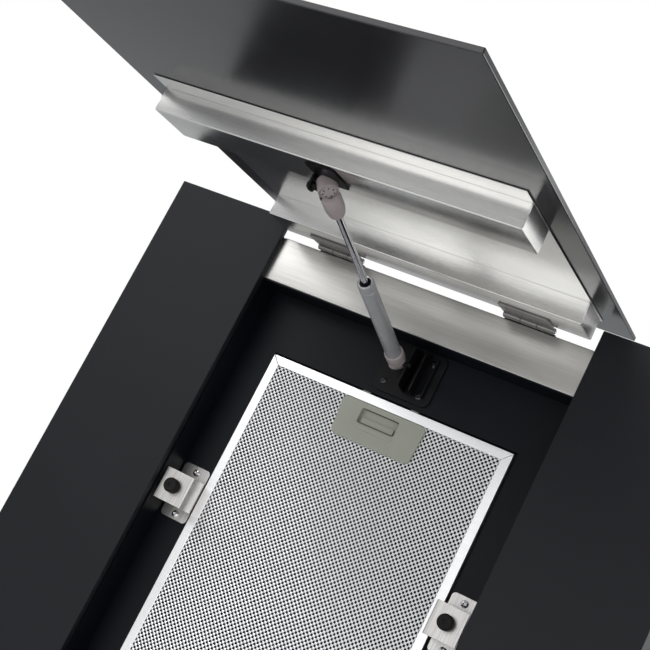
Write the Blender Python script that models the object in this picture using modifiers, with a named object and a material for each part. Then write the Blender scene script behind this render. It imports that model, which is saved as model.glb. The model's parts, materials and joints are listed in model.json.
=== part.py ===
"""Wall-mounted fume extraction hood with a hinged glass lid, held open by a gas strut.

Units are metres, +Z is up and the hood faces -Y. The origin is the middle of the flat back
that stands against the wall. Most places are given in millimetres as (x, down, back): x to the
right, down from the top edge of the steel strip that carries the hinges, and back from that
strip's front plane towards the wall. Pieces of the lid use (x, along, in): along from the hinge
axis to the lid's free edge, and in from the hinge axis towards the wall when the lid is shut.
"""
import math

import bmesh
import bpy
from mathutils import Matrix, Vector

MM = 0.001

# Overall size
WIDTH = 598.0
HEIGHT = 540.0
DEPTH = 210.0
SHEET = 1.0
GAP = 0.3

# Front: two wings with a steel strip and a recess between them
WING_RISE = 18.0
WING_PROUD = 7.6
WING_THICK = 6.0
RECESS_HALF = 165.0
RECESS_TOP = 45.0
RECESS_BOTTOM = 470.0
FLOOR_BACK = 31.0
CASE_TOP = 0.5
CASE_BACK = 46.0
STRIP_FLANGE = 28.0
STRIP_LIP = 10.0

# Grease filter, its window in the recess floor and its handle
FILTER_HALF = 129.6
FILTER_TOP = 106.0
FILTER_HEIGHT = 320.0
FILTER_FRONT = 27.3
FILTER_THICK = 9.0
FILTER_RIM = 9.0
WINDOW_GAP = 2.5
FILTER_PIVOT_BACK = 29.0
LEDGE_HALF = 142.0
LEDGE_DOWN = (96.0, 436.0)
SIGHT_HALF = 119.0
SIGHT_DOWN = (118.0, 414.0)
HANDLE_TOP = (-43.0, 46.0)
HANDLE_FOOT = (-39.5, 44.5)
HANDLE_DOWN = (115.5, 153.5)
HANDLE_BACK = (26.2, 28.3)
FINGER_HALF = 20.0
FINGER_DOWN = (120.5, 135.5)
LATCH_HALF = 38.0
LATCH_DOWN = (121.0, 152.0)
LATCH_BACK = (31.4, 33.0)
TONGUE_X = (22.0, 30.0)
TONGUE_RISE = 1.9

# Lid
HINGE_DOWN = -3.0
HINGE_BACK = -3.0
LID_OPEN = math.radians(85.1)
GLASS_HALF = 183.0
GLASS_START = -38.0
GLASS_END = 493.0
GLASS_THICK = 4.0
PLATE_IN = -22.8
PLATE_HALF = 160.0
PLATE_END = 295.0
RAIL_ALONG = (225.0, 274.5)
RAIL_IN = -2.9
CHANNEL_ALONG = (7.0, 54.0)
CHANNEL_IN = -2.3

# Hinges
HINGE_X = (-99.5, 100.0)
HINGE_LENGTH = 50.0
KNUCKLE_R = 3.0
HINGE_BORE_R = 1.75
HINGE_PIN_R = 1.45
LEAF_ALONG = (2.0, 29.0)
LEAF_BACK = 24.0
LEAF_THICK = 1.5

# Gas strut: both eye centres, the upper one in the lid's own measures
STRUT_X = -4.0
STRUT_LOW = (70.5, 11.0)
STRUT_HIGH = (245.0, 7.0)
TUBE_R = 7.5
TUBE_END = 134.0
ROD_R = 3.0
SOCKET_R = 8.2
SOCKET_WIDTH = 13.0
SOCKET_LENGTH = 30.0
BALL_R = 5.0
STUD_R = 2.9
LUG_HOLE_R = 3.2
LUG_THICK = 2.0
UPPER_BASE_X = (-20.0, 6.0)
UPPER_BASE_REACH = (-13.0, 25.0)
UPPER_BASE_THICK = 1.2
UPPER_LUG_HALF = 5.0
UPPER_LUG_TALL = 14.0
LOWER_BASE_X = (-24.0, 36.0)
LOWER_BASE_END = 99.0
LOWER_BASE_THICK = 2.0
LOWER_LUGS = ((7.0, 8.0), (17.0, 14.0))
LOWER_LUG_END = 93.0

# Catches at the recess's sides, with the buffers that the lid's rail meets
CATCH_X = (130.5, 161.5)
CATCH_DOWN = (249.0, 280.0)
CATCH_FRONT = 3.0
CATCH_SHEET = 1.2
CATCH_TAB_X = (132.0, 162.0)
CATCH_TAB_DOWN = (236.0, 291.0)
BUFFER_X = 146.5
BUFFER_DOWN = 264.0
BUFFER_BACK = (2.7, -5.5)
BUFFER_R = 7.0

# Blower and its duct
FAN_DOWN = 275.0
HOUSING_HALF = 155.0
HOUSING_TOP = 78.0
HOUSING_BOTTOM = 462.0
SPIGOT_R = 75.0
SPIGOT_BACK = 122.0
SPIGOT_HEIGHT = 55.0
SPIGOT_WALL = 2.0
SPIGOT_FLANGE = 3.5
FLAP_RISE = 16.0
FLAP_PIN_R = 1.5
FLAP_GAP = 3.0
SCROLL_BACK = (58.0, 190.0)
SCROLL_SHEET = 1.2
INLET_R = 78.0
WHEEL_R = 96.0
BLADE_COUNT = 24
BLADE_RADIUS = 87.0
BLADE_SIZE = (14.0, 88.0, 1.0)
BLADE_MIDDLE = 116.0
BLADE_PITCH = math.radians(28)
RIM_HOLE_R = 79.0
RIM_STARTS = (72.0, 158.0)
RIM_THICK = 2.5
SHAFT_R = 4.0
MOTOR_R = 46.0
MOTOR_BACK = (110.0, 183.2)
KEYHOLE_X = 110.0
KEYHOLE_DOWN = (110.0, 124.0)
GLAND_X = -125.0
GLAND_BACK = 160.0
GLAND_R = 8.0

# Push buttons in the fascia under the recess
BUTTON_X = (-45.0, -15.0, 15.0, 45.0)
BUTTON_DOWN = 506.0
BUTTON_R = 6.0
BUTTON_PROUD = 1.6

STRIP_Y = -(DEPTH - WING_PROUD)
EDGE_Z = HEIGHT / 2 - WING_RISE
WALL_BACK = -STRIP_Y
BODY_BOTTOM = HEIGHT - WING_RISE

# Colour, metallic value and roughness of each finish
FINISHES = {
    "black_panel": ((0.026, 0.027, 0.031), 0.1, 0.30),
    "black_recess": ((0.010, 0.011, 0.013), 0.1, 0.35),
    "black_glass": ((0.020, 0.020, 0.023), 0.0, 0.06),
    "steel": ((0.42, 0.41, 0.40), 1.0, 0.32),
    "zinc": ((0.55, 0.56, 0.58), 1.0, 0.40),
    "aluminium": ((0.72, 0.72, 0.73), 1.0, 0.30),
    "strut_grey": ((0.22, 0.22, 0.24), 0.5, 0.35),
    "socket_plastic": ((0.30, 0.25, 0.25), 0.0, 0.55),
    "handle_plastic": ((0.25, 0.26, 0.22), 0.0, 0.50),
    "rubber": ((0.018, 0.017, 0.018), 0.0, 0.80),
    "lens": ((0.90, 0.90, 0.86), 0.0, 0.25),
    "circuit": ((0.03, 0.16, 0.07), 0.0, 0.50),
}


def clear_scene():
    for old in list(bpy.data.objects):
        bpy.data.objects.remove(old, do_unlink=True)


def collection(name):
    made = bpy.data.collections.new(name)
    bpy.context.scene.collection.children.link(made)
    return made


def finish(name):
    colour, metallic, roughness = FINISHES[name]
    material = bpy.data.materials.new(name)
    material.use_nodes = True
    shader = material.node_tree.nodes["Principled BSDF"]
    shader.inputs["Base Color"].default_value = (*colour, 1.0)
    shader.inputs["Metallic"].default_value = metallic
    shader.inputs["Roughness"].default_value = roughness
    return material


def place(x, down, back):
    """A point of the fixed hood, in metres."""
    return Vector((x * MM, STRIP_Y * MM + back * MM, EDGE_Z * MM - down * MM))


def pivot(name, point, angle=0.0):
    """An empty on a joint's axis; its children are modelled unturned, as seen from it."""
    empty = bpy.data.objects.new(name, None)
    empty.location = point
    empty.rotation_euler = (angle, 0.0, 0.0)
    empty.empty_display_size = 0.03
    PARTS.objects.link(empty)
    return empty


class Frame:
    """Measures that a group of pieces is given in: the fixed hood's, or a moving body's."""

    def __init__(self, parent=None, origin=(0.0, 0.0, 0.0)):
        self.parent = parent
        self.origin = Vector(origin)

    def point(self, x, down, back):
        if self.parent is None:
            return place(x, down, back)
        x0, down0, back0 = self.origin
        return Vector(((x - x0) * MM, (back - back0) * MM, (down0 - down) * MM))

    def adopt(self, obj):
        obj.parent = self.parent
        return obj


def new_object(name, bm, material, frame, outward=True):
    mesh = bpy.data.meshes.new(name)
    if outward:
        bmesh.ops.recalc_face_normals(bm, faces=bm.faces)
    bm.to_mesh(mesh)
    bm.free()
    obj = bpy.data.objects.new(name, mesh)
    PARTS.objects.link(obj)
    if material:
        mesh.materials.append(MATERIALS[material])
    mesh.shade_smooth()
    mesh.set_sharp_from_angle(angle=math.radians(35))
    return frame.adopt(obj)


def add_box(bm, low, high):
    middle = (low + high) / 2
    size = high - low
    scale = Matrix.Diagonal((abs(size.x), abs(size.y), abs(size.z), 1.0))
    bmesh.ops.create_cube(bm, size=1.0, matrix=Matrix.Translation(middle) @ scale)


def box(name, x, down, back, material=None, frame=None):
    """A block between two x, two down and two back measures."""
    frame = frame or HOOD
    bm = bmesh.new()
    add_box(bm, frame.point(x[0], down[0], back[0]), frame.point(x[1], down[1], back[1]))
    return new_object(name, bm, material, frame)


def turned_to(direction):
    return Vector(direction).to_track_quat("Z", "Y").to_matrix().to_4x4()


def add_cylinder(bm, start, end, radius, end_radius=None, segments=24):
    span = end - start
    matrix = Matrix.Translation((start + end) / 2) @ turned_to(span)
    top = radius if end_radius is None else end_radius
    bmesh.ops.create_cone(bm, cap_ends=True, segments=segments, radius1=radius * MM,
                          radius2=top * MM, depth=span.length, matrix=matrix)


def cylinder(name, start, end, radius, material=None, frame=None, end_radius=None, segments=24):
    """A rod or cone between two (x, down, back) points."""
    frame = frame or HOOD
    bm = bmesh.new()
    add_cylinder(bm, frame.point(*start), frame.point(*end), radius, end_radius, segments)
    return new_object(name, bm, material, frame)


def ball(name, centre, radius, material=None, frame=None, segments=16):
    frame = frame or HOOD
    bm = bmesh.new()
    bmesh.ops.create_uvsphere(bm, u_segments=segments, v_segments=segments // 2,
                              radius=radius * MM, matrix=Matrix.Translation(frame.point(*centre)))
    return new_object(name, bm, material, frame)


def tray(name, x, down, back, material, frame=None, thick=SHEET, open_side="front"):
    """A folded sheet box with one side open; its sheet is inside the measures given."""
    frame = frame or HOOD
    bm = bmesh.new()
    add_box(bm, frame.point(x[0], down[0], back[0]), frame.point(x[1], down[1], back[1]))
    bmesh.ops.recalc_face_normals(bm, faces=bm.faces)
    away = {"front": Vector((0, -1, 0)), "back": Vector((0, 1, 0))}[open_side]
    for face in list(bm.faces):
        if face.normal.dot(away) > 0.9:
            bmesh.ops.delete(bm, geom=[face], context="FACES")
            break
    obj = new_object(name, bm, material, frame, outward=False)
    shell = obj.modifiers.new("sheet", "SOLIDIFY")
    shell.thickness = thick * MM
    shell.offset = -1.0
    shell.use_even_offset = True
    return obj


def prism(name, outline, x, material=None, frame=None):
    """A closed (down, back) outline, drawn out between two x measures."""
    frame = frame or HOOD
    points = [frame.point(0, down, back) for down, back in outline]
    return flat_curve(name, points, Vector((1, 0, 0)), x, material, frame)


def slab(name, outline, back, material=None, frame=None):
    """A closed (x, down) outline, drawn out between two back measures."""
    frame = frame or HOOD
    base = frame.point(0, 0, back[0]).y
    points = [frame.point(x, down, back[0]) for x, down in outline]
    reach = (frame.point(0, 0, back[1]).y - base) / MM
    return flat_curve(name, points, Vector((0, 1, 0)), (0.0, reach), material, frame)


def flat_curve(name, points, axis, span, material, frame):
    """A 2D curve through points in a plane square to axis, extruded over a span along it."""
    turn = turned_to(axis)
    local = [turn.inverted() @ point for point in points]
    curve = bpy.data.curves.new(name + "_outline", "CURVE")
    curve.dimensions = "2D"
    curve.fill_mode = "BOTH"
    curve.extrude = abs(span[1] - span[0]) / 2 * MM
    spline = curve.splines.new("POLY")
    spline.points.add(len(local) - 1)
    spline.use_cyclic_u = True
    for spot, point in zip(spline.points, local):
        spot.co = (point.x, point.y, 0.0, 1.0)
    guide = bpy.data.objects.new(name + "_outline", curve)
    PARTS.objects.link(guide)
    height = local[0].z + sum(span) / 2 * MM
    guide.matrix_world = turn @ Matrix.Translation((0.0, 0.0, height))
    bpy.context.view_layer.update()
    depsgraph = bpy.context.evaluated_depsgraph_get()
    mesh = bpy.data.meshes.new_from_object(guide.evaluated_get(depsgraph))
    mesh.transform(guide.matrix_world)
    bm = bmesh.new()
    bm.from_mesh(mesh)
    bmesh.ops.remove_doubles(bm, verts=bm.verts, dist=0.00001)
    bpy.data.meshes.remove(mesh)
    bpy.data.objects.remove(guide, do_unlink=True)
    return new_object(name, bm, material, frame)


def tool(base, operand, operation):
    """Join the operand to the base, or cut it away, and keep it only as a hidden guide."""
    step = base.modifiers.new(operand.name, "BOOLEAN")
    step.object = operand
    step.operation = operation
    step.solver = "EXACT"
    operand.hide_render = True
    operand.display_type = "WIRE"
    PARTS.objects.unlink(operand)
    CUTTERS.objects.link(operand)
    return base


def join(base, *operands):
    for operand in operands:
        tool(base, operand, "UNION")
    return base


def cut(base, *operands):
    for operand in operands:
        tool(base, operand, "DIFFERENCE")
    return base


def soften(obj, width, segments=2):
    """Small rounded edges on a piece with no cuts of its own."""
    bevel = obj.modifiers.new("soft_edges", "BEVEL")
    bevel.width = width * MM
    bevel.segments = segments
    bevel.limit_method = "ANGLE"
    bevel.angle_limit = math.radians(40)
    return obj


def mirrored(side, inner, outer):
    """An x range on the left (side -1) or the right (side 1)."""
    return tuple(sorted((side * inner, side * outer)))


def make_wings():
    """Black front panels and the shallow folded cases behind them."""
    for side, word in ((-1, "left"), (1, "right")):
        across = mirrored(side, RECESS_HALF, WIDTH / 2)
        panel = box(f"wing_{word}", across, (-WING_RISE, BODY_BOTTOM),
                    (-WING_PROUD, -WING_PROUD + WING_THICK), "black_panel")
        soften(panel, 0.8)
        inside = mirrored(side, RECESS_HALF + GAP, WIDTH / 2 - 1.0)
        tray(f"case_{word}", inside, (CASE_TOP, BODY_BOTTOM - 1.0),
             (-WING_PROUD + WING_THICK + GAP, CASE_BACK), "black_panel")


def make_hinge_strip():
    """Brushed strip with a flange back along its top edge and a lip along its bottom edge."""
    half = RECESS_HALF - 0.6
    lip = RECESS_TOP - SHEET
    outline = [(0, 0), (RECESS_TOP, 0), (RECESS_TOP, STRIP_LIP), (lip, STRIP_LIP), (lip, SHEET),
               (SHEET, SHEET), (SHEET, STRIP_FLANGE), (0, STRIP_FLANGE)]
    prism("hinge_strip", outline, (-half, half), "steel")


def window():
    """The filter's opening in the recess floor: x half-width, top and bottom."""
    return FILTER_HALF + 1.7, FILTER_TOP - WINDOW_GAP, FILTER_TOP + FILTER_HEIGHT + WINDOW_GAP


def make_recess():
    half = RECESS_HALF - GAP
    recess = tray("recess_tray", (-half, half), (RECESS_TOP + GAP, RECESS_BOTTOM),
                  (0.0, FLOOR_BACK + SHEET), "black_recess")
    wide, top, bottom = window()
    opening = box("window_cut", (-wide, wide), (top, bottom), (FLOOR_BACK - 5, FLOOR_BACK + 5))
    cut(recess, opening)

    front = FLOOR_BACK + SHEET + GAP
    seat = FILTER_FRONT + FILTER_THICK + GAP
    ledge = box("filter_ledge", (-LEDGE_HALF, LEDGE_HALF), LEDGE_DOWN, (front, seat + 1.2),
                "black_recess")
    pocket = box("ledge_pocket", (-wide, wide), (top, bottom), (front - 2, seat))
    through = box("ledge_window", (-SIGHT_HALF, SIGHT_HALF), SIGHT_DOWN, (front - 4, seat + 5))
    cut(ledge, pocket, through)


def make_fascia():
    """Panel under the recess, with a round hole for each push button."""
    half = RECESS_HALF - GAP
    fascia = tray("control_fascia", (-half, half), (RECESS_BOTTOM + GAP, BODY_BOTTOM - 0.5),
                  (-WING_PROUD + 1.0, CASE_BACK), "black_panel", open_side="back", thick=1.5)
    for number, x in enumerate(BUTTON_X, 1):
        hole = cylinder(f"button_hole_{number}", (x, BUTTON_DOWN, -20), (x, BUTTON_DOWN, 5),
                        BUTTON_R + 0.4)
        cut(fascia, hole)
        body = Frame(pivot(f"button_{number}_pivot", place(x, BUTTON_DOWN, -WING_PROUD)),
                     (x, BUTTON_DOWN, -WING_PROUD))
        button = cylinder(f"button_{number}", (x, BUTTON_DOWN, -WING_PROUD - BUTTON_PROUD),
                          (x, BUTTON_DOWN, 2.0), BUTTON_R, "steel", body)
        stem = cylinder(f"button_stem_{number}", (x, BUTTON_DOWN, 1.0), (x, BUTTON_DOWN, 12.0),
                        2.5, frame=body, segments=12)
        join(button, stem)


def make_housing():
    """Box behind the recess that holds the blower and stands against the wall."""
    across = (-HOUSING_HALF, HOUSING_HALF)
    down = (HOUSING_TOP, HOUSING_BOTTOM)
    housing = tray("housing", across, down, (38.2, WALL_BACK), "zinc", thick=1.2)
    duct = cylinder("duct_hole", (0, HOUSING_TOP - 10, SPIGOT_BACK),
                    (0, HOUSING_TOP + 10, SPIGOT_BACK), SPIGOT_R - 3.0, segments=40)
    gland = cylinder("gland_hole", (GLAND_X, HOUSING_TOP - 10, GLAND_BACK),
                     (GLAND_X, HOUSING_TOP + 10, GLAND_BACK), GLAND_R + GAP)
    cut(housing, duct, gland)
    for side in (-1, 1):
        x = side * KEYHOLE_X
        through = (WALL_BACK - 8, WALL_BACK + 5)
        low = KEYHOLE_DOWN[1]
        head = cylinder(f"keyhole_head_{side + 1}", (x, low, through[0]), (x, low, through[1]), 5.5)
        slot = box(f"keyhole_slot_{side + 1}", (x - 2.6, x + 2.6), KEYHOLE_DOWN, through)
        cut(housing, head, slot)


def make_duct():
    """Outlet collar with two non-return flaps that lift away from one cross pin."""
    base = HOUSING_TOP - GAP
    top = base - SPIGOT_HEIGHT
    spigot = cylinder("outlet_spigot", (0, base, SPIGOT_BACK), (0, top, SPIGOT_BACK), SPIGOT_R,
                      "black_recess", segments=40)
    flange = cylinder("spigot_flange", (0, base, SPIGOT_BACK), (0, base - 2, SPIGOT_BACK),
                      SPIGOT_R + SPIGOT_FLANGE, segments=40)
    bore = cylinder("spigot_bore", (0, base + 5, SPIGOT_BACK), (0, top - 5, SPIGOT_BACK),
                    SPIGOT_R - SPIGOT_WALL, segments=40)
    pin_down = base - FLAP_RISE
    reach = SPIGOT_R - SPIGOT_WALL - 1.8
    pin_hole = cylinder("flap_pin_hole", (0, pin_down, SPIGOT_BACK - SPIGOT_R - 5),
                        (0, pin_down, SPIGOT_BACK + SPIGOT_R + 5), FLAP_PIN_R + GAP, segments=12)
    join(spigot, flange)
    cut(spigot, bore, pin_hole)
    cylinder("flap_pin", (0, pin_down, SPIGOT_BACK - SPIGOT_R + 0.2),
             (0, pin_down, SPIGOT_BACK + SPIGOT_R - 0.2), FLAP_PIN_R, "steel", segments=12)
    for side, word in ((-1, "left"), (1, "right")):
        body = Frame(pivot(f"flap_{word}_pivot", place(0, pin_down, SPIGOT_BACK)),
                     (0, pin_down, SPIGOT_BACK))
        flap = cylinder(f"flap_{word}", (0, pin_down - 0.5, SPIGOT_BACK),
                        (0, pin_down + 0.5, SPIGOT_BACK), reach, "black_recess", body,
                        segments=40)
        away = box(f"flap_trim_{word}", mirrored(-side, -FLAP_GAP, 90), (pin_down - 9, pin_down + 9),
                   (SPIGOT_BACK - 90, SPIGOT_BACK + 90), frame=body)
        cut(flap, away)


def make_gland():
    """Mains inlet: a hex nut and a threaded stem with a bore, in the housing's top."""
    x, back = GLAND_X, GLAND_BACK
    seat = HOUSING_TOP - GAP
    gland = cylinder("cable_gland", (x, seat, back), (x, seat - 7, back), 11.0, "rubber",
                     segments=6)
    stem = cylinder("gland_stem", (x, seat - 6, back), (x, HOUSING_TOP + 12, back), GLAND_R)
    nose = cylinder("gland_nose", (x, seat - 6, back), (x, seat - 20, back), 9.0, end_radius=6.5)
    bore = cylinder("gland_bore", (x, seat - 30, back), (x, HOUSING_TOP + 20, back), 4.0,
                    segments=16)
    join(gland, stem, nose)
    cut(gland, bore)


def scroll_outline(shrink, top):
    """Blower casing: a spiral that opens into a straight outlet, as (x, down) points."""
    steps = 28
    first, last = math.radians(57), math.radians(-237)
    points = [(-74 + shrink, top), (74 - shrink, top)]
    for step in range(steps + 1):
        share = step / steps
        angle = first + (last - first) * share
        radius = 136 - 18 * share - shrink
        points.append((radius * math.cos(angle), FAN_DOWN - radius * math.sin(angle)))
    return points


def make_blower():
    front, back = SCROLL_BACK
    scroll = slab("blower_scroll", scroll_outline(0.0, HOUSING_TOP + 3), (front, back), "zinc")
    hollow = slab("scroll_hollow", scroll_outline(SCROLL_SHEET, HOUSING_TOP - 9),
                  (front + SCROLL_SHEET, back - SCROLL_SHEET))
    inlet = cylinder("scroll_inlet", (0, FAN_DOWN, front - 5), (0, FAN_DOWN, front + 5),
                     INLET_R, segments=40)
    cut(scroll, hollow, inlet)

    cylinder("motor_bracket", (0, FAN_DOWN, 183.5), (0, FAN_DOWN, back - 1.5), 62.0, "zinc",
             segments=32)
    motor = cylinder("motor", (0, FAN_DOWN, MOTOR_BACK[0]), (0, FAN_DOWN, MOTOR_BACK[1]), MOTOR_R,
                     "zinc", segments=32)
    nose = cylinder("motor_nose", (0, FAN_DOWN, 104), (0, FAN_DOWN, 112), 16.0)
    bore = cylinder("motor_bore", (0, FAN_DOWN, 95), (0, FAN_DOWN, 165), 4.4)
    join(motor, nose)
    cut(motor, bore)
    soften(motor, 1.5)

    body = Frame(pivot("fan_pivot", place(0, FAN_DOWN, 100)), (0, FAN_DOWN, 100))
    cylinder("motor_shaft", (0, FAN_DOWN, 82), (0, FAN_DOWN, 160), SHAFT_R, "steel", body)
    impeller = cylinder("impeller", (0, FAN_DOWN, 98), (0, FAN_DOWN, 100), WHEEL_R, "zinc", body,
                        segments=48)
    hub = cylinder("impeller_hub", (0, FAN_DOWN, 86), (0, FAN_DOWN, 99), 12.0, frame=body)
    shaft_hole = cylinder("impeller_bore", (0, FAN_DOWN, 80), (0, FAN_DOWN, 110), SHAFT_R + GAP,
                          frame=body)
    join(impeller, hub, fan_blades(body), *fan_rings(body))
    cut(impeller, shaft_hole)


def fan_blades(frame):
    """Blades round the drum, each turned a little from the radius."""
    bm = bmesh.new()
    centre = Matrix.Translation(frame.point(0, FAN_DOWN, BLADE_MIDDLE))
    out = Matrix.Translation((BLADE_RADIUS * MM, 0, 0))
    pitch = Matrix.Rotation(BLADE_PITCH, 4, "Y")
    shape = Matrix.Diagonal((*(side * MM for side in BLADE_SIZE), 1.0))
    for number in range(BLADE_COUNT):
        around = Matrix.Rotation(math.tau * number / BLADE_COUNT, 4, "Y")
        bmesh.ops.create_cube(bm, size=1.0, matrix=centre @ around @ out @ pitch @ shape)
    return new_object("impeller_blades", bm, None, frame)


def fan_rings(frame):
    """The two rims that tie the blades' ends together."""
    for word, start in zip(("front", "rear"), RIM_STARTS):
        rim = cylinder(f"impeller_rim_{word}", (0, FAN_DOWN, start),
                       (0, FAN_DOWN, start + RIM_THICK), WHEEL_R, frame=frame, segments=48)
        inner = cylinder(f"impeller_rim_hole_{word}", (0, FAN_DOWN, start - 4),
                         (0, FAN_DOWN, start + 8), RIM_HOLE_R, frame=frame, segments=48)
        yield cut(rim, inner)


def make_electrics():
    box("control_board", (-60, 60), (476, 514), (14, 15.6), "circuit")
    terminal = box("terminal_box", (-285, -205), (40, 100), (8, 36), "rubber")
    soften(terminal, 2.0)
    for side, word in ((-1, "left"), (1, "right")):
        x = side * 232
        lens = cylinder(f"lamp_{word}", (x, BODY_BOTTOM - 0.7, 22), (x, BODY_BOTTOM + 1.5, 22),
                        16.0, "lens", segments=32)
        soften(lens, 0.6)


def make_catches():
    """Bent brackets at the recess's sides, each with a rubber buffer that the lid's rail meets."""
    seat = FLOOR_BACK - GAP
    inner, outer = CATCH_X
    for side, word in ((-1, "left"), (1, "right")):
        bracket = box(f"catch_{word}_bracket", mirrored(side, inner, outer), CATCH_DOWN,
                      (CATCH_FRONT, seat), "zinc")
        under = box(f"catch_under_{word}", mirrored(side, inner + CATCH_SHEET, outer + 15),
                    (CATCH_DOWN[0] - 10, CATCH_DOWN[1] + 10), (CATCH_FRONT + CATCH_SHEET, 60))
        tab = box(f"catch_tabs_{word}", mirrored(side, *CATCH_TAB_X), CATCH_TAB_DOWN,
                  (seat - CATCH_SHEET, seat))
        foot = box(f"catch_foot_{word}", mirrored(side, inner, inner + 2.5), CATCH_DOWN, (20, seat))
        cut(bracket, under)
        join(bracket, foot, tab)
        x = side * BUFFER_X
        buffer = cylinder(f"catch_{word}_buffer", (x, BUFFER_DOWN, BUFFER_BACK[0]),
                          (x, BUFFER_DOWN, BUFFER_BACK[1]), BUFFER_R, "rubber")
        soften(buffer, 1.0)


def make_filter():
    """Aluminium filter that tips out at the top; its latch slides in the handle."""
    bottom = FILTER_TOP + FILTER_HEIGHT
    back = FILTER_FRONT + FILTER_THICK
    origin = (0.0, bottom, FILTER_PIVOT_BACK)
    body = Frame(pivot("filter_pivot", place(*origin)), origin)
    wide = FILTER_HALF
    rim = box("filter_frame", (-wide, wide), (FILTER_TOP, bottom), (FILTER_FRONT, back),
              "aluminium", body)
    inner = wide - FILTER_RIM
    sight = box("filter_sight", (-inner, inner), (FILTER_TOP + FILTER_RIM, bottom - FILTER_RIM),
                (FILTER_FRONT - 5, back + 5), frame=body)
    hollow = box("filter_hollow", (-wide + 1, wide - 1), (FILTER_TOP + 1, bottom - 1),
                 (FILTER_FRONT + 1, back - 1), frame=body)
    cut(rim, sight, hollow)
    for side in (-1, 1):
        slot = box(f"tongue_slot_{side + 1}", tongue_x(side, 0.4), (FILTER_TOP - 5, FILTER_TOP + 5),
                   (31.0, 33.8), frame=body)
        cut(rim, slot)

    mesh = box("filter_mesh", (-wide + 1.3, wide - 1.3), (FILTER_TOP + 1.3, bottom - 1.3),
               (FILTER_FRONT + 1.3, back - 1.3), "aluminium", body)
    clear = box("latch_space", (-50, 50), (FILTER_TOP, FILTER_TOP + 53), (29.6, 34.2), frame=body)
    finger = box("finger_space", (-21, 21), (119, 141), (20, 32), frame=body)
    cut(mesh, clear, finger)

    top, foot = HANDLE_DOWN
    outline = [(HANDLE_TOP[0], top), (HANDLE_TOP[1], top), (HANDLE_FOOT[1], foot),
               (HANDLE_FOOT[0], foot)]
    handle = slab("filter_handle", outline, HANDLE_BACK, "handle_plastic", body)
    pocket = box("finger_slot", (-FINGER_HALF, FINGER_HALF), FINGER_DOWN, (20, 40), frame=body)
    cut(handle, pocket)
    make_latch(body)


def make_latch(body):
    """Spring latch behind the handle, with a finger lip and two tongues past the frame."""

    latch_origin = (0.0, 140.0, 32.0)
    latch_pivot = pivot("latch_pivot", body.point(*latch_origin))
    latch_pivot.parent = body.parent
    slider = Frame(latch_pivot, latch_origin)
    latch = box("filter_latch", (-LATCH_HALF, LATCH_HALF), LATCH_DOWN, LATCH_BACK,
                "handle_plastic", slider)
    lip = box("latch_lip", (-17, 17), (129, 134.0), (28.9, 32), frame=slider)
    join(latch, lip)
    for side in (-1, 1):
        arm = box(f"latch_tongue_{side + 1}", tongue_x(side, 0.0),
                  (FILTER_TOP - TONGUE_RISE, LATCH_DOWN[0] + 9), LATCH_BACK, frame=slider)
        join(latch, arm)


def tongue_x(side, spare):
    """The x range of one latch tongue, with some spare room for its slot."""
    return mirrored(side, TONGUE_X[0] - spare, TONGUE_X[1] + spare)


def make_lid():
    """Glass lid on a folded steel frame, modelled shut and turned open about its hinge axis."""
    axis = place(0, HINGE_DOWN, HINGE_BACK)
    lid = Frame(pivot("lid_pivot", axis, -LID_OPEN))

    glass_in = PLATE_IN - SHEET - GAP
    glass = box("lid_glass", (-GLASS_HALF, GLASS_HALF), (GLASS_START, GLASS_END),
                (glass_in - GLASS_THICK, glass_in), "black_glass", lid)
    soften(glass, 0.7)
    box("lid_plate", (-PLATE_HALF, PLATE_HALF), (0, PLATE_END),
        (PLATE_IN - SHEET, PLATE_IN), "steel", lid)
    tray("lid_rail", (-PLATE_HALF, PLATE_HALF), RAIL_ALONG, (PLATE_IN + GAP, RAIL_IN),
         "steel", lid)
    tray("lid_channel", (-PLATE_HALF + 1, PLATE_HALF - 1), CHANNEL_ALONG,
         (PLATE_IN + GAP, CHANNEL_IN), "steel", lid)
    make_hinges(lid)
    make_upper_bracket(lid)


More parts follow.
